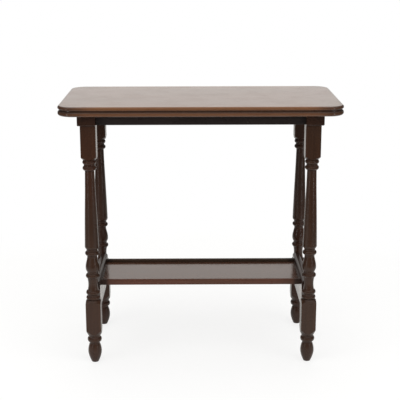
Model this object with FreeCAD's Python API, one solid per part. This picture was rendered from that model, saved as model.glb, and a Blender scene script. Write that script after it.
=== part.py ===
import FreeCAD, Part
import math
import os

os.makedirs("parts", exist_ok=True)
Vector = FreeCAD.Vector

# Two-tier side table in turned hardwood, millimetres.
# X runs along the table, -Y is the front, +Z is up, the origin is on the floor under the middle of the top.

# Whole table
table_height = 677.0
top_length = 700.0
top_depth = 360.0
top_thickness = 24.2
top_corner_radius = 40.0

# Moulded edge of the top: a tall lower bead, a narrow quirk and an upper bead
lower_bead_height = 12.2
quirk_height = 2.5
quirk_depth = 4.3
lower_bead_rounding = 5.2
upper_bead_rounding = 4.6

# Places of the legs
leg_inset_length = 73.0
leg_inset_depth = 48.0

# Square stock of the legs
leg_side = 38.2
leg_arris = 1.0
tenon_radius = 9.0
tenon_length = 18.0

# Turned members of the legs from the floor up: heights
foot_height = 51.2
ankle_neck_height = 3.0
ankle_bead_height = 14.8
ankle_quirk_height = 2.5
lower_block_height = 100.5
block_collar_height = 10.0
inner_collar_height = 11.5
low_groove_height = 3.4
spool_height = 33.3
ring_height = 11.5
vase_neck_height = 4.2
vase_height = 38.0
throat_height = 6.5
knee_neck_height = 5.0
knee_height = 10.0
top_groove_height = 4.0
upper_quirk_height = 0.8
upper_block_height = 88.7
lower_shoulder_height = 21.0
middle_shoulder_height = 10.5
upper_shoulder_height = 10.5

# Turned members of the legs: radii
foot_base_radius = 9.0
foot_radius = 17.6
ankle_radius = 13.1
ankle_bead_radius = 18.4
ankle_quirk_radius = 15.2
block_quirk_radius = 15.6
low_collar_radius = 18.2
low_groove_radius = 15.0
spool_end_radius = 14.0
spool_radius = 12.1
ring_radius = 17.9
vase_neck_radius = 13.8
vase_radius = 17.6
throat_radius = 12.9
knee_neck_radius = 14.1
knee_radius = 17.9
taper_top_radius = 12.0
top_collar_radius = 17.4
top_groove_radius = 14.0

# Curved stretches of the turning, as (height, swelling) shares of the member that carries them
foot_curve_shares = ((0.15, 0.71), (0.35, 0.905), (0.57, 1.0), (0.82, 0.915))
vase_curve_shares = ((0.3, 1.0), (0.62, 0.72), (0.85, 0.28))
taper_curve_shares = ((0.25, 0.78), (0.5, 0.5), (0.75, 0.2))
block_shoulder_shares = (0.37, 0.3)
knee_shares = (0.35, 0.75)

# Bearers across the ends, rails along the front and rear
bearer_height = 26.0
bearer_overhang = 6.0
bearer_rounding = 3.0
rail_thickness = 18.0
rail_arris = 1.0

# Corner blocks inside the frame
corner_block_side = 46.0
corner_block_cut = 8.0
corner_block_drop = 4.0

# End stretchers that carry the shelf
stretcher_thickness = 20.0
stretcher_height = 74.0
stretcher_setback = 2.5
stretcher_crown = 15.1
stretcher_arris = 1.5
stretcher_crest_flat = 0.4
seat_flat_depth = 0.5

# Lower shelf: a thin panel between a front and a rear lip
shelf_height = 200.9
shelf_depth = 180.0
panel_thickness = 6.5
tongue_thickness = 3.0
edge_tongue_length = 3.5
end_tongue_length = 5.0
lip_width = 10.0
lip_stand = 8.3
lip_rounding = 4.0
lip_arris = 1.2

# Dowels and their places
rail_dowel_radius = 3.0
rail_dowel_length = 20.0
rail_dowel_pitch = 12.0
tenon_wall = 2.5
stretcher_dowel_radius = 4.0
stretcher_dowel_length = 26.0
stretcher_dowel_pitch = 32.0
stretcher_dowel_lift = 13.0
lip_dowel_radius = 2.0
lip_dowel_length = 20.0
lip_dowel_edge = 4.0

# Countersunk wood screws that hold the top
screw_radius = 2.0
screw_head_radius = 4.0
screw_head_height = 2.4
screw_slot_width = 1.0
screw_slot_depth = 1.0
screw_tip_length = 4.0
screw_tip_radius = 0.4
screw_bite = 14.0
bearer_screw_inset = 75.0
bearer_counterbore = 8.0
block_screw_inset = 17.0
block_counterbore = 5.0

# Clearances
glue_gap = 0.1
hole_end_gap = 0.8
cut_overrun = 2.0
level_tolerance = 0.002

# Counts, angles and shares
dowels_per_joint = 2
full_turn = 360.0
angle_tolerance_share = 1e-6

# Places worked out from the sizes above
top_underside = table_height - top_thickness
bearer_bottom = top_underside - bearer_height
leg_x = top_length / 2 - leg_inset_length
leg_y = top_depth / 2 - leg_inset_depth
leg_half = leg_side / 2
bearer_inner = leg_x - leg_half
bearer_outer = leg_x + leg_half + bearer_overhang
bearer_end = leg_y + leg_half + bearer_overhang
stretcher_inner = leg_x - leg_half + stretcher_setback
stretcher_x = stretcher_inner + stretcher_thickness / 2
stretcher_end = leg_y - spool_radius + seat_flat_depth
stretcher_top = shelf_height + stretcher_crown
stretcher_bottom = stretcher_top - stretcher_height
panel_bottom = shelf_height - panel_thickness
tongue_bottom = (panel_bottom + shelf_height - tongue_thickness) / 2
tongue_top = tongue_bottom + tongue_thickness
lip_top = shelf_height + lip_stand
lip_outer = shelf_depth / 2
lip_inner = lip_outer - lip_width
sides = (("left", -1), ("right", 1))
rows = (("front", -1), ("rear", 1))
rail_inner = leg_y - rail_thickness / 2
rail_outer = leg_y + rail_thickness / 2
corner_block_bottom = bearer_bottom + corner_block_drop
bearer_screw_y = bearer_end - bearer_screw_inset
block_screw_x = bearer_inner - block_screw_inset
block_screw_y = rail_inner - block_screw_inset
corners = [(row_name + "_" + side_name, side, row) for side_name, side in sides for row_name, row in rows]
bearer_screw_places = [(side * leg_x, row * bearer_screw_y) for _, side, row in corners]
block_screw_places = [(side * block_screw_x, row * block_screw_y) for _, side, row in corners]
up = Vector(0, 0, 1)


def block(x0, x1, y0, y1, z0, z1):
    """Box between two corners given in any order."""
    corner = Vector(min(x0, x1), min(y0, y1), min(z0, z1))
    return Part.makeBox(abs(x1 - x0), abs(y1 - y0), abs(z1 - z0), corner)


def rod(radius, start, direction, length):
    """Round rod from a start point along a direction."""
    return Part.makeCylinder(radius, length, start, direction)


def edges_along(shape, axis):
    """Straight edges of a shape that run along one axis (0, 1 or 2)."""
    found = []
    for edge in shape.Edges:
        run = edge.Vertexes[-1].Point - edge.Vertexes[0].Point
        if run.Length > 0 and abs(abs(run[axis]) / run.Length - 1) < angle_tolerance_share:
            found.append(edge)
    return found


def edges_at_level(shape, level):
    """Edges of a shape that lie in the horizontal plane at a level."""
    found = []
    for edge in shape.Edges:
        box = edge.BoundBox
        if max(abs(box.ZMin - level), abs(box.ZMax - level)) < level_tolerance:
            found.append(edge)
    return found


def save(name, *solids):
    """Write one node, as one solid or as a group of separate solids."""
    shape = solids[0] if len(solids) == 1 else Part.makeCompound(list(solids))
    shape.exportStep("parts/" + name + ".step")


# Hardware: screws standing up from their heads, and the holes that they need

def screw(x, y, head_level, length):
    """Slotted countersunk screw driven upwards, head face at head_level."""
    head = Part.makeCone(screw_head_radius, screw_radius, screw_head_height, Vector(x, y, head_level), up)
    shank_length = length - screw_tip_length
    shank = rod(screw_radius, Vector(x, y, head_level), up, shank_length)
    tip_start = Vector(x, y, head_level + shank_length)
    tip = Part.makeCone(screw_radius, screw_tip_radius, screw_tip_length, tip_start, up)
    slot = block(x - screw_head_radius, x + screw_head_radius,
                 y - screw_slot_width / 2, y + screw_slot_width / 2,
                 head_level, head_level + screw_slot_depth)
    return head.fuse([shank, tip]).removeSplitter().cut(slot)


def screw_clearance(x, y, surface_level, counterbore):
    """Counterbore and clearance hole for a screw, from a surface that faces down."""
    wide = screw_head_radius + glue_gap
    narrow = screw_radius + glue_gap
    head_level = surface_level + counterbore
    bore = rod(wide, Vector(x, y, surface_level - cut_overrun), up, counterbore + cut_overrun)
    sink = Part.makeCone(wide, narrow, screw_head_height, Vector(x, y, head_level), up)
    hole = rod(narrow, Vector(x, y, head_level), up, top_underside + cut_overrun - head_level)
    return bore.fuse([sink, hole])


def screw_pilot(x, y):
    """Pilot hole for a screw in the underside of the top."""
    start = Vector(x, y, top_underside - cut_overrun)
    depth = screw_bite + hole_end_gap + cut_overrun
    return rod(screw_radius + glue_gap, start, up, depth)


# Top with its two-bead edge

def edge_slab(inset, bottom, height):
    """Slab with the rounded plan of the top, drawn in all round by an inset."""
    half_length = top_length / 2 - inset
    half_depth = top_depth / 2 - inset
    slab = block(-half_length, half_length, -half_depth, half_depth, bottom, bottom + height)
    return slab.makeFillet(top_corner_radius - inset, edges_along(slab, 2))


def edge_bead(bottom, height, rounding):
    """Slab of the top with both rims rounded into a bead."""
    slab = edge_slab(0, bottom, height)
    rims = edges_at_level(slab, bottom) + edges_at_level(slab, bottom + height)
    return slab.makeFillet(rounding, rims)


def table_top():
    upper_bottom = top_underside + lower_bead_height + quirk_height
    upper_height = table_height - upper_bottom
    lower = edge_bead(top_underside, lower_bead_height, lower_bead_rounding)
    upper = edge_bead(upper_bottom, upper_height, upper_bead_rounding)
    core_height = (lower_bead_height + upper_height) / 2 + quirk_height
    core = edge_slab(quirk_depth, top_underside + lower_bead_height / 2, core_height)
    top = lower.fuse([core, upper]).removeSplitter()
    pilots = [screw_pilot(x, y) for x, y in bearer_screw_places + block_screw_places]
    return top.cut(pilots)


# Turned legs

def profile_arc(start, middle, end):
    """Arc in the turning profile through three (radius, level) points."""
    points = [Vector(radius, 0, level) for radius, level in (start, middle, end)]
    return Part.Arc(*points).toShape()


def profile_line(start, end):
    return Part.makeLine(Vector(start[0], 0, start[1]), Vector(end[0], 0, end[1]))


def profile_curve(points):
    curve = Part.BSplineCurve()
    curve.interpolate([Vector(radius, 0, level) for radius, level in points])
    return curve.toShape()


class Turning:
    """Profile of a turned piece, drawn member by member from the floor up."""

    def __init__(self, base_radius):
        self.here = (base_radius, 0)
        self.edges = [profile_line((0, 0), self.here)]

    def straight(self, height, end_radius):
        """Cylinder or taper."""
        end = (end_radius, self.here[1] + height)
        self.edges.append(profile_line(self.here, end))
        self.here = end

    def bow(self, height, middle_radius, end_radius):
        """Bead or cove: an arc that passes its middle radius half way up."""
        end = (end_radius, self.here[1] + height)
        self.edges.append(profile_arc(self.here, (middle_radius, self.here[1] + height / 2), end))
        self.here = end

    def shoulder(self, height, end_radius, middle_shares):
        """Shoulder that swells from a narrow radius to a wide one, upwards or downwards."""
        start = self.here
        end = (end_radius, start[1] + height)
        narrow, wide = (start, end) if end_radius > start[0] else (end, start)
        rise_share, swell_share = middle_shares
        middle_radius = narrow[0] + swell_share * (wide[0] - narrow[0])
        middle_level = narrow[1] + rise_share * (wide[1] - narrow[1])
        self.edges.append(profile_arc(start, (middle_radius, middle_level), end))
        self.here = end

    def swell(self, height, points, end_radius):
        """Smooth curve through (height share, radius) points to an end radius."""
        level = self.here[1]
        end = (end_radius, level + height)
        passed = [(radius, level + share * height) for share, radius in points]
        self.edges.append(profile_curve([self.here] + passed + [end]))
        self.here = end

    def solid(self):
        """Close the profile on the axis and turn it."""
        axis_top = (0, self.here[1])
        outline = self.edges + [profile_line(self.here, axis_top), profile_line(axis_top, (0, 0))]
        face = Part.Face(Part.Wire(Part.__sortEdges__(outline)))
        return face.revolve(Vector(0, 0, 0), up, full_turn)


def square_member(turning, height, lower_shoulder, upper_shoulder):
    """Stretch left square: the turning swells past the corners of the stock between its shoulders."""
    reach = math.hypot(leg_half, leg_half) + cut_overrun
    turning.shoulder(lower_shoulder, reach, block_shoulder_shares)
    turning.straight(height - lower_shoulder - upper_shoulder, reach)
    if upper_shoulder:
        turning.shoulder(upper_shoulder, block_quirk_radius, block_shoulder_shares)


def swelling(shares, narrow_radius, wide_radius):
    """Curve points between two radii from (height, swelling) shares."""
    return [(height, narrow_radius + swell * (wide_radius - narrow_radius)) for height, swell in shares]


def leg_turning():
    """Turned envelope of a leg with its top at the underside of the bearer."""
    turning = Turning(foot_base_radius)
    turning.swell(foot_height, swelling(foot_curve_shares, 0, foot_radius), ankle_radius)
    turning.straight(ankle_neck_height, ankle_radius)
    turning.bow(ankle_bead_height, ankle_bead_radius, ankle_quirk_radius)
    turning.straight(ankle_quirk_height, ankle_quirk_radius)
    square_member(turning, lower_block_height, lower_shoulder_height, middle_shoulder_height)
    turning.bow(block_collar_height, low_collar_radius, low_groove_radius)
    turning.straight(low_groove_height, low_groove_radius)
    turning.bow(inner_collar_height, low_collar_radius, spool_end_radius)
    turning.bow(spool_height, spool_radius, spool_end_radius)
    turning.bow(ring_height, ring_radius, vase_neck_radius)
    turning.straight(vase_neck_height, vase_neck_radius)
    turning.swell(vase_height, swelling(vase_curve_shares, throat_radius, vase_radius), throat_radius)
    turning.straight(throat_height, throat_radius)
    turning.bow(ring_height, ring_radius, knee_neck_radius)
    turning.straight(knee_neck_height, knee_neck_radius)
    turning.shoulder(knee_height, knee_radius, knee_shares)
    collars_height = inner_collar_height + top_groove_height + block_collar_height + upper_quirk_height
    taper_height = bearer_bottom - upper_block_height - collars_height - turning.here[1]
    turning.swell(taper_height, swelling(taper_curve_shares, taper_top_radius, knee_radius), taper_top_radius)
    turning.bow(inner_collar_height, top_collar_radius, top_groove_radius)
    turning.straight(top_groove_height, top_groove_radius)
    turning.bow(block_collar_height, top_collar_radius, block_quirk_radius)
    turning.straight(upper_quirk_height, block_quirk_radius)
    square_member(turning, upper_block_height, upper_shoulder_height, 0)
    return turning.solid()


def leg_blank():
    """Leg on the origin: square stock cut by the lathe, with its round tenon on top."""
    stock = block(-leg_half, leg_half, -leg_half, leg_half, 0, bearer_bottom)
    stock = stock.makeFillet(leg_arris, edges_along(stock, 2))
    turned = stock.common(leg_turning())
    tenon = rod(tenon_radius, Vector(0, 0, bearer_bottom), up, tenon_length)
    return turned.fuse(tenon)


# End stretchers and the joints between them and the legs

def stretcher_body(side, gap):
    """Board on edge with a round crest, grown all round by a gap."""
    inner = stretcher_inner - gap
    outer = stretcher_inner + stretcher_thickness + gap
    end = stretcher_end + gap
    body = block(side * inner, side * outer, -end, end, stretcher_bottom - gap, stretcher_top + gap)
    long_edges = edges_along(body, 1)
    crest = [edge for edge in long_edges if edge.BoundBox.ZMin > stretcher_top - stretcher_thickness]
    body = body.makeFillet((outer - inner - stretcher_crest_flat) / 2, crest)
    base = [edge for edge in edges_along(body, 1) if edge.BoundBox.ZMax < stretcher_bottom + cut_overrun]
    return body.makeFillet(stretcher_arris, base)


def stretcher_dowel(side, row, number, gap, end_gap):
    """One dowel across the joint of a stretcher and a leg."""
    level = stretcher_bottom + stretcher_dowel_lift + number * stretcher_dowel_pitch
    half = stretcher_dowel_length / 2 + end_gap
    start = Vector(side * stretcher_x, row * stretcher_end - half, level)
    return rod(stretcher_dowel_radius + gap, start, Vector(0, 1, 0), 2 * half)


def stretcher_dowels(side, row, gap, end_gap):
    return [stretcher_dowel(side, row, number, gap, end_gap) for number in range(dowels_per_joint)]


def lip_dowel(side, row, gap, end_gap):
    """Dowel across the joint of a shelf lip and a stretcher."""
    half = lip_dowel_length / 2 + end_gap
    level = (panel_bottom + lip_top) / 2
    start = Vector(side * stretcher_inner - half, row * (lip_outer - lip_dowel_edge), level)
    return rod(lip_dowel_radius + gap, start, Vector(1, 0, 0), 2 * half)


def end_tongue(side, gap):
    """Tongue across one end of the shelf panel, grown by a gap."""
    reach = stretcher_inner + end_tongue_length + gap
    return block(side * (stretcher_inner - cut_overrun), side * reach, -lip_inner - gap, lip_inner + gap,
                 tongue_bottom - gap, tongue_top + gap)


def stretcher(side):
    body = stretcher_body(side, 0)
    holes = [end_tongue(side, glue_gap)]
    for _, row in rows:
        holes += stretcher_dowels(side, row, glue_gap, hole_end_gap)
        holes.append(lip_dowel(side, row, glue_gap, hole_end_gap))
    return body.cut(holes)


def leg(side, row, blank):
    placed = blank.translated(Vector(side * leg_x, row * leg_y, 0))
    return placed.cut([stretcher_body(side, glue_gap)] + stretcher_dowels(side, row, glue_gap, hole_end_gap))


# Shelf

def edge_tongue(row, gap):
    """Tongue along one long edge of the shelf panel, grown by a gap."""
    reach = lip_inner + edge_tongue_length + gap
    return block(-stretcher_inner, stretcher_inner, row * (lip_inner - cut_overrun), row * reach,
                 tongue_bottom - gap, tongue_top + gap)


def shelf_panel():
    board = block(-stretcher_inner, stretcher_inner, -lip_inner, lip_inner, panel_bottom, shelf_height)
    tongues = [end_tongue(side, 0) for _, side in sides] + [edge_tongue(row, 0) for _, row in rows]
    return board.fuse(tongues).removeSplitter()


def shelf_lip(row):
    body = block(-stretcher_inner, stretcher_inner, row * lip_inner, row * lip_outer, panel_bottom, lip_top)
    long_edges = edges_along(body, 0)
    crown = [edge for edge in long_edges if edge.BoundBox.ZMin > shelf_height]
    body = body.makeFillet(lip_rounding, crown)
    base = [edge for edge in edges_along(body, 0)
            if edge.BoundBox.ZMax < shelf_height - panel_thickness / 2
            and abs(edge.BoundBox.YMin) > lip_outer - lip_width / 2]
    body = body.makeFillet(lip_arris, base)
    holes = [lip_dowel(side, row, glue_gap, hole_end_gap) for _, side in sides]
    return body.cut(holes + [edge_tongue(row, glue_gap)])


# Frame under the top

def rail_dowel(side, row, number, gap, end_gap):
    """One dowel across the joint of a rail and a bearer, kept short of the tenon of the leg."""
    bite = leg_half - tenon_radius - tenon_wall
    inner = bearer_inner + bite - rail_dowel_length - end_gap
    level = bearer_bottom + bearer_height / 2 + (number - (dowels_per_joint - 1) / 2) * rail_dowel_pitch
    start = Vector(side * inner, row * leg_y, level)
    return rod(rail_dowel_radius + gap, start, Vector(side, 0, 0), rail_dowel_length + 2 * end_gap)


def rail_dowels(side, row, gap, end_gap):
    return [rail_dowel(side, row, number, gap, end_gap) for number in range(dowels_per_joint)]


def bearer(side):
    body = block(side * bearer_inner, side * bearer_outer, -bearer_end, bearer_end,
                 bearer_bottom, top_underside)
    outer_rim = [edge for edge in edges_at_level(body, bearer_bottom)
                 if abs(edge.BoundBox.Center.x) > bearer_inner + cut_overrun]
    body = body.makeFillet(bearer_rounding, outer_rim)
    holes = []
    for _, row in rows:
        socket_start = Vector(side * leg_x, row * leg_y, bearer_bottom - cut_overrun)
        socket_depth = tenon_length + hole_end_gap + cut_overrun
        holes.append(rod(tenon_radius + glue_gap, socket_start, up, socket_depth))
        holes += rail_dowels(side, row, glue_gap, hole_end_gap)
    for x, y in bearer_screw_places:
        if x * side > 0:
            holes.append(screw_clearance(x, y, bearer_bottom, bearer_counterbore))
    return body.cut(holes)


def rail(row):
    body = block(-bearer_inner, bearer_inner, row * rail_inner, row * rail_outer,
                 bearer_bottom, top_underside)
    base = [edge for edge in edges_along(body, 0) if edge.BoundBox.ZMax < top_underside - bearer_height / 2]
    body = body.makeFillet(rail_arris, base)
    holes = []
    for _, side in sides:
        holes += rail_dowels(side, row, glue_gap, hole_end_gap)
    return body.cut(holes)


def corner_block(side, row, place):
    """Three-cornered block glued in the angle of a rail and a bearer, with its sharp ends cut off."""
    far_x = bearer_inner - corner_block_side
    far_y = rail_inner - corner_block_side
    plan = [(bearer_inner, rail_inner), (far_x, rail_inner), (far_x, rail_inner - corner_block_cut),
            (bearer_inner - corner_block_cut, far_y), (bearer_inner, far_y)]
    points = [Vector(side * x, row * y, corner_block_bottom) for x, y in plan]
    face = Part.Face(Part.makePolygon(points + points[:1]))
    body = face.extrude(Vector(0, 0, top_underside - corner_block_bottom))
    return body.cut(screw_clearance(place[0], place[1], corner_block_bottom, block_counterbore))


# Write every piece

save("table_top", table_top())
blank = leg_blank()
for side_name, side in sides:
    save(side_name + "_bearer", bearer(side))
    save(side_name + "_end_stretcher", stretcher(side))
for row_name, row in rows:
    save(row_name + "_rail", rail(row))
    save("shelf_" + row_name + "_lip", shelf_lip(row))
save("shelf_panel", shelf_panel())
for place, (name, side, row) in zip(block_screw_places, corners):
    save(name + "_leg", leg(side, row, blank))
    save(name + "_corner_block", corner_block(side, row, place))
save("rail_dowels", *[dowel for _, side, row in corners for dowel in rail_dowels(side, row, 0, 0)])
save("stretcher_dowels", *[dowel for _, side, row in corners for dowel in stretcher_dowels(side, row, 0, 0)])
save("lip_dowels", *[lip_dowel(side, row, 0, 0) for _, side, row in corners])
bearer_head = bearer_bottom + bearer_counterbore
bearer_screw_length = top_underside + screw_bite - bearer_head
save("bearer_screws", *[screw(x, y, bearer_head, bearer_screw_length) for x, y in bearer_screw_places])
block_head = corner_block_bottom + block_counterbore
block_screw_length = top_underside + screw_bite - block_head
save("corner_block_screws", *[screw(x, y, block_head, block_screw_length) for x, y in block_screw_places])
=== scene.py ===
import math

import bpy
import mathutils
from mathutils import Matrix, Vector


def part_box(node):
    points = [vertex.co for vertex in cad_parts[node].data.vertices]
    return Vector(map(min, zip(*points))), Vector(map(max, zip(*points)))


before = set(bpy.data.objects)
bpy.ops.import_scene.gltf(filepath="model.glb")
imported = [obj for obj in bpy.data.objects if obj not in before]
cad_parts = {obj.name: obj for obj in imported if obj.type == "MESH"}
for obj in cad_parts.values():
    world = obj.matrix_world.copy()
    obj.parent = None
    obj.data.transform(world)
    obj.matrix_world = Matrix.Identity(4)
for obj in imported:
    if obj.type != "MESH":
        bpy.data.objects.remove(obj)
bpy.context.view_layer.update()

# Camera at the photograph's angle: metres, degrees and millimetres of lens
camera_place = (-0.0174, -2.5321, 1.062)
camera_level_pitch = 90.0
camera_pitch_down = 14.66
camera_yaw = -0.3645
camera_roll = -0.1
camera_lens = 88.875
camera_sensor = 36.0

# Room: white paper behind the table, a pale ceiling, dim elsewhere
backdrop_level = 0.95
backdrop_mirror_tint = (1.0, 0.975, 0.94, 1.0)
ceiling_level = 1.2
room_level = 0.13
backdrop_edge_slopes = (0.42, 0.2)
backdrop_rear_shares = (0.0, 0.3)
backdrop_least_share = 0.001
ceiling_edge_shares = (0.45, 0.9)
white_level = 1.0
white = (1.0, 1.0, 1.0, 1.0)

# Floor: a pale sheet that ends in front of the table
floor_half_width = 1.4
floor_front = -1.0
floor_rear = 4.0
floor_albedo = (0.6, 0.6, 0.59, 1.0)
floor_seen_albedo = (0.95, 0.945, 0.92, 1.0)
floor_mirror_tint = (1.0, 0.965, 0.92, 1.0)
floor_lift_share = 0.75
floor_mirror_lift = 0.5
floor_fade_start = 0.45
floor_fade_end = 1.2

# Lights: degrees from the camera's side, then distance, height, size and power. The strips stand
# below the top and mirrored rays don't see the other lights, so none glares in the polished top.
softbox_azimuth = 48.0
softbox_setup = (2.2, 1.5, (1.8, 2.2), 18.0)
strip_setup = (2.1, 0.36, (0.16, 0.58), 2.4)
front_fill_azimuth = 0.0
front_fill_setup = (2.6, 1.6, (2.4, 1.8), 20.0)
rear_fill_azimuth = 180.0
rear_fill_setup = (2.4, 1.4, (2.4, 1.6), 16.0)
light_target_height = 0.4

# Wood tones, linear colours
mid_brown = (0.060, 0.0275, 0.0165, 1.0)
light_brown = (0.074, 0.034, 0.0200, 1.0)
red_brown = (0.090, 0.033, 0.0195, 1.0)
# Lighter worn colour, on the top's beads also a painted highlight
worn_and_highlight_brown = (0.180, 0.076, 0.031, 1.0)
# Dark brown of the pores and of the painted shade
pore_and_shade_brown = (0.012, 0.007, 0.005, 1.0)
bare_wood = (0.34, 0.19, 0.085, 1.0)
bare_wood_dark = (0.22, 0.115, 0.05, 1.0)
bright_steel = (0.42, 0.41, 0.39, 1.0)
dull_steel = (0.20, 0.18, 0.16, 1.0)

# Stain of each piece, as shares of those tones
top_tone = (1.85, 1.85, 1.6)
shelf_tone = (1.16, 1.12, 1.1)
front_lip_tone = (1.15, 1.0, 0.95)
rear_lip_tone = (0.55, 0.75, 0.8)
rail_tone = (0.34, 0.54, 0.82)
bearer_tone = (0.44, 0.44, 0.42)
stretcher_tone = (0.6, 0.65, 0.7)
front_leg_tone = (0.59, 0.60, 0.56)
# Rear legs: the front legs' tone darkened, as painted shade
rear_leg_shaded_tone = (0.48, 0.50, 0.48)

# Grain: features per metre across it, share of that along it, noise detail and twist;
# then the ranges of noise that show, and how much of the colour streaks and pores take
band_grain = (48.0, 0.05, 3.0, 1.2)
fibre_grain = (520.0, 0.03, 4.0, 0.3)
pore_grain = (1900.0, 0.04, 2.0, 0.0)
blotch_grain = (9.0, 0.3, 2.0, 0.0)
smudge_grain = (16.0, 1.0, 3.0, 0.0)
band_range = (0.34, 0.68)
blotch_range = (0.42, 0.66)
streak_range = (0.40, 0.72)
streak_share = 0.4
streak_shade = (0.55, 0.50, 0.50, 1.0)
pore_range = (0.60, 0.68)
pore_share = 0.4
smudge_range = (0.3, 0.7)

# Finish: roughness of broad polished faces and of turned or narrow ones, painted shade in recesses, relief
polished_gloss = (0.10, 0.17)
turned_gloss = (0.24, 0.34)
stretcher_gloss = (0.18, 0.26)
pore_gloss = 0.08
# Painted shade in recesses: roughness added there, the occlusion's reach and samples, and the range and share
# it darkens
shade_gloss = 0.25
shade_reach = 0.008
shade_samples = 6
shade_range = (0.85, 0.45)
shade_share = 0.8
bump_depth = 0.0001
bump_strength = 0.12
fibre_bump_share = 0.3
dowel_roughness = 0.65
dowel_bump_strength = 0.3
tarnish_grain = (900.0, 1.0, 4.0, 0.0)
steel_gloss = (0.28, 0.5)
top_ior = 1.45
shelf_ior = 1.6
frame_ior = 1.36
stretcher_ior = 1.42

# Woods: grain axis, stain, share of red blotches, index of refraction and roughness
top_wood = ("X", top_tone, 0.3, top_ior, polished_gloss)
shelf_wood = ("X", shelf_tone, 0.2, shelf_ior, polished_gloss)
front_lip_wood = ("X", front_lip_tone, 0.9, frame_ior, turned_gloss)
rear_lip_wood = ("X", rear_lip_tone, 0.3, frame_ior, turned_gloss)
rail_wood = ("X", rail_tone, 0.2, frame_ior, turned_gloss)
bearer_wood = ("Y", bearer_tone, 0.4, frame_ior, turned_gloss)
stretcher_wood = ("Y", stretcher_tone, 0.3, stretcher_ior, stretcher_gloss)
front_leg_wood = ("Z", front_leg_tone, 0.55, frame_ior, turned_gloss)
# Rear legs: the front legs' wood with the darker tone, as painted shade
rear_leg_shaded_wood = ("Z", rear_leg_shaded_tone, 0.55, frame_ior, turned_gloss)
block_wood = ("Z", bearer_tone, 0.4, frame_ior, turned_gloss)

# Where in the noise each piece's grain starts, and the step from one like piece to the next
top_start = (0.31, 0.12, 0.07)
shelf_start = (1.70, 0.45, 0.21)
front_lip_start = (0.4, 0.9, 0.3)
rear_lip_start = (0.8, 0.9, 0.3)
rail_start, rail_step = (0.0, 0.7, 0.2), (0.6, 0.0, 0.0)
bearer_start, bearer_step = (2.1, 0.0, 0.4), (0.0, 0.5, 0.0)
stretcher_start, stretcher_step = (3.3, 0.0, 0.8), (0.0, 0.6, 0.0)
leg_start, leg_step = (0.0, 1.3, 0.6), (0.7, 0.0, 0.0)
block_start, block_step = (1.1, 0.0, 0.9), (0.0, 0.8, 0.0)

# Wear and painted highlight, painted shade and darker corners round the top: metres in from its outline,
# along it and over the floor
top_half = (0.35, 0.18)
top_corner_radius = 0.04
rim_wear_and_highlight_insets = (0.055, 0.008)
rim_wear_and_highlight_levels = (0.6672, 0.6690)
lower_bead_rise = (0.6530, 0.6555)
lower_bead_fall = (0.6612, 0.6590)
lower_bead_share = 0.35
# Painted shade in the quirk and on the shoulder under it
quirk_shade_levels = (0.6595, 0.6635)
quirk_shade_share = 0.6
end_wear_and_highlight_fade = (0.325, 0.24)
# Darker colour round the corners of the edge
end_darkening_edge = (0.265, 0.335)
end_darkening_insets = (0.008, 0.003)
end_darkening_share = 0.5

# Wear of the legs, and painted shade and shadow elsewhere
turned_wear_radii = (0.0180, 0.0270)
turned_wear_share = 0.04
# Painted shade on the shelf by the lips and the stretchers
shelf_shade_edge = (0.066, 0.080)
shelf_shade_share = 0.45
shelf_end_edge = (0.243, 0.262)
shelf_end_share = 0.5
# Painted shadow of the legs across the ends of the lips
lip_shadow_edge = (0.236, 0.250)
lip_shadow_share = 0.8
# Painted shade on the stretchers above the shelf
stretcher_shade_edge = (0.196, 0.204)
stretcher_shade_share = 0.5

# Sockets of the Mix node that hold its factor, its two colours and the result
mix_factor, mix_first, mix_second, mix_result = 0, 6, 7, 2


def add(tree, kind, inputs=None, **settings):
    """New shader node with its settings, and its inputs as links or values."""
    made = tree.nodes.new("ShaderNode" + kind)
    for key, value in settings.items():
        setattr(made, key, value)
    for key, value in (inputs or {}).items():
        if isinstance(value, bpy.types.NodeSocket):
            tree.links.new(value, made.inputs[key])
        else:
            made.inputs[key].default_value = value
    return made


def mix_colours(tree, factor, first, second, blend="MIX"):
    """Colour between two colours, or the first one blended with the second."""
    made = add(tree, "Mix", {mix_factor: factor, mix_first: first, mix_second: second},
               data_type="RGBA", blend_type=blend)
    return made.outputs[mix_result]


def ramp(tree, factor, low, high, to_low=0.0, to_high=1.0):
    """Factor eased from one range to another."""
    made = add(tree, "MapRange", {"Value": factor, "From Min": low, "From Max": high,
                                  "To Min": to_low, "To Max": to_high}, interpolation_type="SMOOTHSTEP")
    return made.outputs["Result"]


def maths(tree, operation, first, second):
    return add(tree, "Math", {0: first, 1: second}, operation=operation).outputs[0]


def new_material(name):
    """Empty node material and its output node."""
    material = bpy.data.materials.new(name)
    material.use_nodes = True
    material.node_tree.nodes.clear()
    output = material.node_tree.nodes.new("ShaderNodeOutputMaterial")
    return material, material.node_tree, output


def stretched(tree, place, axis, share, shift):
    """Coordinates drawn out along one axis and moved by a shift."""
    scale = [1.0, 1.0, 1.0]
    scale["XYZ".index(axis)] = share
    made = add(tree, "Mapping", {"Vector": place, "Scale": scale, "Location": shift})
    return made.outputs["Vector"]


def grain(tree, place, kind, axis="X", shift=(0.0, 0.0, 0.0)):
    """Noise drawn out along one axis, moved by a shift of the piece's own."""
    scale, share, detail, twist = kind
    drawn = stretched(tree, place, axis, share, shift)
    made = add(tree, "TexNoise", {"Vector": drawn, "Scale": scale, "Detail": detail, "Distortion": twist})
    return made.outputs["Fac"]


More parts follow.
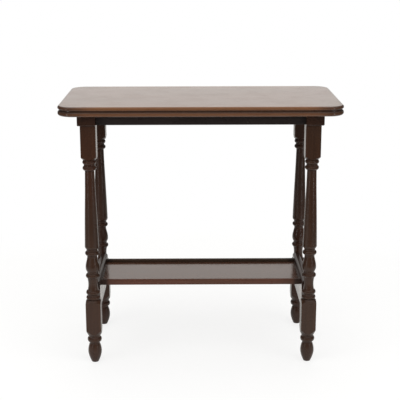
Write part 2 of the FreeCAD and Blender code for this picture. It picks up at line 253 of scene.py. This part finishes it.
def outline_inset(tree, place):
    """Distance in from the rounded outline of the top."""
    core = (top_half[0] - top_corner_radius, top_half[1] - top_corner_radius, 1.0)
    reach = add(tree, "VectorMath", {0: place}, operation="ABSOLUTE").outputs[0]
    past = add(tree, "VectorMath", {0: reach, 1: core}, operation="SUBTRACT").outputs[0]
    past = add(tree, "VectorMath", {0: past, 1: (0.0, 0.0, 0.0)}, operation="MAXIMUM").outputs[0]
    out = add(tree, "VectorMath", {0: past}, operation="LENGTH").outputs["Value"]
    return maths(tree, "SUBTRACT", top_corner_radius, out)


def far_out(axis, edge, share):
    """Factor that changes over a range of distances from the middle along one axis."""
    def factor(tree, place):
        along = add(tree, "SeparateXYZ", {"Vector": place}).outputs[axis]
        return maths(tree, "MULTIPLY", ramp(tree, maths(tree, "ABSOLUTE", along, 0.0), *edge), share)
    return factor


def bead_wear_and_highlight(tree, place):
    """Worn rim and crests of the two beads of the top, partly painted highlight, fading towards its ends."""
    level = add(tree, "SeparateXYZ", {"Vector": place}).outputs["Z"]
    rim = ramp(tree, outline_inset(tree, place), *rim_wear_and_highlight_insets)
    upper = maths(tree, "MULTIPLY", rim, ramp(tree, level, *rim_wear_and_highlight_levels))
    lower = maths(tree, "MULTIPLY", ramp(tree, level, *lower_bead_rise), ramp(tree, level, *lower_bead_fall))
    worn = maths(tree, "MAXIMUM", upper, maths(tree, "MULTIPLY", lower, lower_bead_share))
    return maths(tree, "MULTIPLY", worn, far_out("X", end_wear_and_highlight_fade, 1.0)(tree, place))


def quirk_shade(tree, place):
    """Painted shade in the quirk of the top and on the shoulder under it."""
    level = add(tree, "SeparateXYZ", {"Vector": place}).outputs["Z"]
    under = maths(tree, "SUBTRACT", 1.0, ramp(tree, level, *rim_wear_and_highlight_levels))
    quirk = maths(tree, "MULTIPLY", ramp(tree, level, *quirk_shade_levels), under)
    return maths(tree, "MULTIPLY", quirk, quirk_shade_share)


def corner_darkening(tree, place):
    """Darker colour round the corners of the edge of the top."""
    ends = far_out("X", end_darkening_edge, end_darkening_share)(tree, place)
    return maths(tree, "MULTIPLY", ends, ramp(tree, outline_inset(tree, place), *end_darkening_insets))


def shelf_shade(tree, place):
    """Painted shade along the edges and across the ends of the shelf, where it meets the lips and stretchers.
    """
    edges = far_out("Y", shelf_shade_edge, shelf_shade_share)(tree, place)
    ends = far_out("X", shelf_end_edge, shelf_end_share)(tree, place)
    return maths(tree, "MAXIMUM", edges, ends)


def turned_wear(centre):
    """Wear of a turned leg, by the distance from its axis."""
    def wear(tree, place):
        apart = add(tree, "VectorMath", {0: place, 1: (centre[0], centre[1], 0.0)}, operation="SUBTRACT")
        flat = add(tree, "VectorMath", {0: apart.outputs[0], 1: (1.0, 1.0, 0.0)}, operation="MULTIPLY")
        radius = add(tree, "VectorMath", {0: flat.outputs[0]}, operation="LENGTH").outputs["Value"]
        return maths(tree, "MULTIPLY", ramp(tree, radius, *turned_wear_radii), turned_wear_share)
    return wear


def polished_wood(name, wood, shift, wear=None, painted_shade=None, darkening=None):
    """Stained hardwood under polish, with its grain along one axis and painted shade in its recesses."""
    axis, tone, red, ior, gloss = wood
    material, tree, output = new_material(name)
    place = add(tree, "TexCoord").outputs["Object"]
    bands = ramp(tree, grain(tree, place, band_grain, axis, shift), *band_range)
    fibres = grain(tree, place, fibre_grain, axis, shift)
    pores = ramp(tree, grain(tree, place, pore_grain, axis, shift), *pore_range)
    blotches = ramp(tree, grain(tree, place, blotch_grain, axis, shift), *blotch_range)
    colour = mix_colours(tree, bands, mid_brown, light_brown)
    colour = mix_colours(tree, maths(tree, "MULTIPLY", blotches, red), colour, red_brown)
    colour = mix_colours(tree, 1.0, colour, tone + (1.0,), "MULTIPLY")
    # Lighter worn colour: on the top's beads it is wear and painted highlight, on the legs it is wear.
    if wear:
        colour = mix_colours(tree, wear(tree, place), colour, worn_and_highlight_brown)
    streaks = ramp(tree, fibres, *streak_range, 0.0, streak_share)
    colour = mix_colours(tree, streaks, colour, streak_shade, "MULTIPLY")
    colour = mix_colours(tree, maths(tree, "MULTIPLY", pores, pore_share), colour, pore_and_shade_brown)
    if darkening:
        colour = mix_colours(tree, darkening(tree, place), colour, pore_and_shade_brown)
    # Painted shade: the colour darkens in recesses by ambient occlusion and over the piece's painted shade
    # mask, and roughness rises there too.
    openness = add(tree, "AmbientOcclusion", {"Distance": shade_reach},
                   samples=shade_samples, only_local=True).outputs["AO"]
    shade_mask = ramp(tree, openness, *shade_range, 0.0, shade_share)
    if painted_shade:
        shade_mask = maths(tree, "MAXIMUM", shade_mask, painted_shade(tree, place))
    colour = mix_colours(tree, shade_mask, colour, pore_and_shade_brown)
    roughness = ramp(tree, grain(tree, place, smudge_grain), *smudge_range, *gloss)
    roughness = maths(tree, "ADD", roughness, maths(tree, "MULTIPLY", pores, pore_gloss))
    roughness = maths(tree, "ADD", roughness, maths(tree, "MULTIPLY", shade_mask, shade_gloss))
    height = maths(tree, "SUBTRACT", maths(tree, "MULTIPLY", fibres, fibre_bump_share), pores)
    bump = add(tree, "Bump", {"Height": height, "Strength": bump_strength, "Distance": bump_depth})
    shader = add(tree, "BsdfPrincipled", {"Base Color": colour, "Roughness": roughness,
                                          "Normal": bump.outputs["Normal"], "IOR": ior})
    tree.links.new(shader.outputs[0], output.inputs["Surface"])
    return material


def dowel_wood():
    """Bare pale dowel wood, seen only where a joint is open."""
    material, tree, output = new_material("dowel_wood")
    place = add(tree, "TexCoord").outputs["Object"]
    fibres = grain(tree, place, fibre_grain, "Y")
    colour = mix_colours(tree, fibres, bare_wood, bare_wood_dark)
    bump = add(tree, "Bump", {"Height": fibres, "Strength": dowel_bump_strength, "Distance": bump_depth})
    shader = add(tree, "BsdfPrincipled", {"Base Color": colour, "Roughness": dowel_roughness,
                                          "Normal": bump.outputs["Normal"]})
    tree.links.new(shader.outputs[0], output.inputs["Surface"])
    return material


def screw_steel():
    """Dull steel of the screw heads under the frame."""
    material, tree, output = new_material("screw_steel")
    place = add(tree, "TexCoord").outputs["Object"]
    tarnish = grain(tree, place, tarnish_grain)
    colour = mix_colours(tree, tarnish, bright_steel, dull_steel)
    roughness = ramp(tree, tarnish, *smudge_range, *steel_gloss)
    shader = add(tree, "BsdfPrincipled", {"Base Color": colour, "Roughness": roughness, "Metallic": 1.0})
    tree.links.new(shader.outputs[0], output.inputs["Surface"])
    return material


def dress(material, *names):
    """Give CAD nodes one material."""
    for name in names:
        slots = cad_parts[name].data.materials
        slots.clear()
        slots.append(material)


def ray_kinds(tree):
    """Camera rays, and rays from mirrors and glass, as two factors."""
    path = add(tree, "LightPath")
    mirrored = maths(tree, "MAXIMUM", path.outputs["Is Glossy Ray"], path.outputs["Is Transmission Ray"])
    return path.outputs["Is Camera Ray"], mirrored


def pale_floor():
    """Pale floor that stays white to the eye and keeps a soft shadow near the table."""
    material, tree, output = new_material("pale_floor")
    place = add(tree, "TexCoord").outputs["Object"]
    distance = add(tree, "VectorMath", {0: place}, operation="LENGTH").outputs["Value"]
    far = ramp(tree, distance, floor_fade_start, floor_fade_end)
    camera_ray, mirrored = ray_kinds(tree)
    camera_lift = maths(tree, "MULTIPLY", camera_ray, floor_lift_share)
    near_lift = maths(tree, "MAXIMUM", camera_lift, floor_mirror_lift)
    lift = maths(tree, "MAXIMUM", near_lift, far)
    tint = mix_colours(tree, camera_ray, floor_mirror_tint, white)
    glow = add(tree, "Emission", {"Color": tint, "Strength": white_level})
    shaded = add(tree, "BsdfDiffuse", {"Color": floor_seen_albedo})
    seen = add(tree, "MixShader", {0: lift, 1: shaded.outputs[0], 2: glow.outputs[0]})
    plain = add(tree, "BsdfDiffuse", {"Color": floor_albedo})
    eyed = maths(tree, "MAXIMUM", camera_ray, mirrored)
    surface = add(tree, "MixShader", {0: eyed, 1: plain.outputs[0], 2: seen.outputs[0]})
    tree.links.new(surface.outputs[0], output.inputs["Surface"])
    return material


def add_floor():
    mesh = bpy.data.meshes.new("floor")
    corners = [(-floor_half_width, floor_front, 0.0), (floor_half_width, floor_front, 0.0),
               (floor_half_width, floor_rear, 0.0), (-floor_half_width, floor_rear, 0.0)]
    mesh.from_pydata(corners, [], [tuple(range(len(corners)))])
    mesh.materials.append(pale_floor())
    floor = bpy.data.objects.new("floor", mesh)
    bpy.context.scene.collection.objects.link(floor)


def light_world():
    """White behind the table, a pale ceiling and a dim room; the camera sees white all round."""
    world = bpy.data.worlds.new("studio")
    bpy.context.scene.world = world
    world.use_nodes = True
    tree = world.node_tree
    tree.nodes.clear()
    output = tree.nodes.new("ShaderNodeOutputWorld")
    direction = add(tree, "SeparateXYZ", {"Vector": add(tree, "TexCoord").outputs["Generated"]})
    aside = maths(tree, "ABSOLUTE", direction.outputs["X"], 0.0)
    slope = maths(tree, "DIVIDE", aside, maths(tree, "MAXIMUM", direction.outputs["Y"], backdrop_least_share))
    rear = ramp(tree, direction.outputs["Y"], *backdrop_rear_shares)
    behind = maths(tree, "MULTIPLY", ramp(tree, slope, *backdrop_edge_slopes), rear)
    above = ramp(tree, direction.outputs["Z"], *ceiling_edge_shares)
    level = maths(tree, "MAXIMUM", maths(tree, "MULTIPLY", behind, backdrop_level),
                  maths(tree, "MULTIPLY", above, ceiling_level))
    camera_ray, mirrored = ray_kinds(tree)
    tint = mix_colours(tree, camera_ray, backdrop_mirror_tint, white)
    room = add(tree, "Background", {"Color": white, "Strength": maths(tree, "MAXIMUM", level, room_level)})
    seen = add(tree, "Background", {"Color": tint, "Strength": white_level})
    eyed = maths(tree, "MAXIMUM", camera_ray, maths(tree, "MULTIPLY", mirrored, behind))
    surface = add(tree, "MixShader", {0: eyed, 1: room.outputs[0], 2: seen.outputs[0]})
    tree.links.new(surface.outputs[0], output.inputs["Surface"])


def add_light(name, azimuth, setup):
    """Area light round the table, by degrees from the camera's side, aimed at its middle."""
    distance, height, size, power = setup
    lamp = bpy.data.lights.new(name, "AREA")
    lamp.shape = "RECTANGLE"
    lamp.size, lamp.size_y = size
    lamp.energy = power
    light = bpy.data.objects.new(name, lamp)
    turn = math.radians(azimuth)
    place = mathutils.Vector((distance * math.sin(turn), -distance * math.cos(turn), height))
    aim = mathutils.Vector((0.0, 0.0, light_target_height)) - place
    light.location = place
    light.rotation_euler = aim.to_track_quat("-Z", "Y").to_euler()
    light.visible_camera = False
    bpy.context.scene.collection.objects.link(light)
    return light


def add_camera():
    lens = bpy.data.cameras.new("camera")
    lens.sensor_fit = "HORIZONTAL"
    lens.sensor_width = camera_sensor
    lens.lens = camera_lens
    camera = bpy.data.objects.new("camera", lens)
    camera.location = camera_place
    pitch = math.radians(camera_level_pitch - camera_pitch_down)
    aim = mathutils.Euler((pitch, 0.0, math.radians(camera_yaw))).to_matrix()
    roll = mathutils.Matrix.Rotation(math.radians(camera_roll), 3, "Z")
    camera.rotation_euler = (aim @ roll).to_euler()
    bpy.context.scene.collection.objects.link(camera)
    bpy.context.scene.camera = camera


def middle(name):
    """Middle of a CAD node's box."""
    return [(low + high) / 2.0 for low, high in zip(*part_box(name))]


def stepped(start, step, number):
    """Grain shift of one of several like pieces."""
    return [first + number * more for first, more in zip(start, step)]


# Wood of each piece, with the grain along its length
# Painted shadow of the legs on the ends of the lips
lip_end_shadow = far_out("X", lip_shadow_edge, lip_shadow_share)
# Painted shade on the stretchers above the shelf
stretcher_upper_shade = far_out("Z", stretcher_shade_edge, stretcher_shade_share)
dress(polished_wood("top_wood", top_wood, top_start, bead_wear_and_highlight, quirk_shade, corner_darkening), "table_top")
dress(polished_wood("shelf_wood", shelf_wood, shelf_start, painted_shade=shelf_shade), "shelf_panel")
dress(polished_wood("front_lip_wood", front_lip_wood, front_lip_start, painted_shade=lip_end_shadow), "shelf_front_lip")
dress(polished_wood("rear_lip_wood", rear_lip_wood, rear_lip_start, painted_shade=lip_end_shadow), "shelf_rear_lip")
for number, rail in enumerate(("front_rail", "rear_rail")):
    dress(polished_wood(rail + "_wood", rail_wood, stepped(rail_start, rail_step, number)), rail)
for number, side in enumerate(("left", "right")):
    shift = stepped(bearer_start, bearer_step, number)
    dress(polished_wood(side + "_bearer_wood", bearer_wood, shift), side + "_bearer")
    shift = stepped(stretcher_start, stretcher_step, number)
    dress(polished_wood(side + "_stretcher_wood", stretcher_wood, shift, painted_shade=stretcher_upper_shade),
          side + "_end_stretcher")
for number, corner in enumerate(("front_left", "front_right", "rear_left", "rear_right")):
    leg = corner + "_leg"
    # Rear legs take the darker copy of the leg wood, as painted shade
    leg_wood = front_leg_wood if "front" in corner else rear_leg_shaded_wood
    shift = stepped(leg_start, leg_step, number)
    dress(polished_wood(leg + "_wood", leg_wood, shift, turned_wear(middle(leg))), leg)
    shift = stepped(block_start, block_step, number)
    dress(polished_wood(corner + "_block_wood", block_wood, shift), corner + "_corner_block")
dress(dowel_wood(), "rail_dowels", "stretcher_dowels", "lip_dowels")
dress(screw_steel(), "bearer_screws", "corner_block_screws")

add_floor()
light_world()
for side, azimuth in (("left", -softbox_azimuth), ("right", softbox_azimuth)):
    add_light(side + "_softbox", azimuth, softbox_setup).visible_glossy = False
    add_light(side + "_strip", azimuth, strip_setup)
add_light("front_fill", front_fill_azimuth, front_fill_setup).visible_glossy = False
add_light("rear_fill", rear_fill_azimuth, rear_fill_setup).visible_glossy = False
add_camera()
bpy.context.scene.view_settings.view_transform = "Standard"
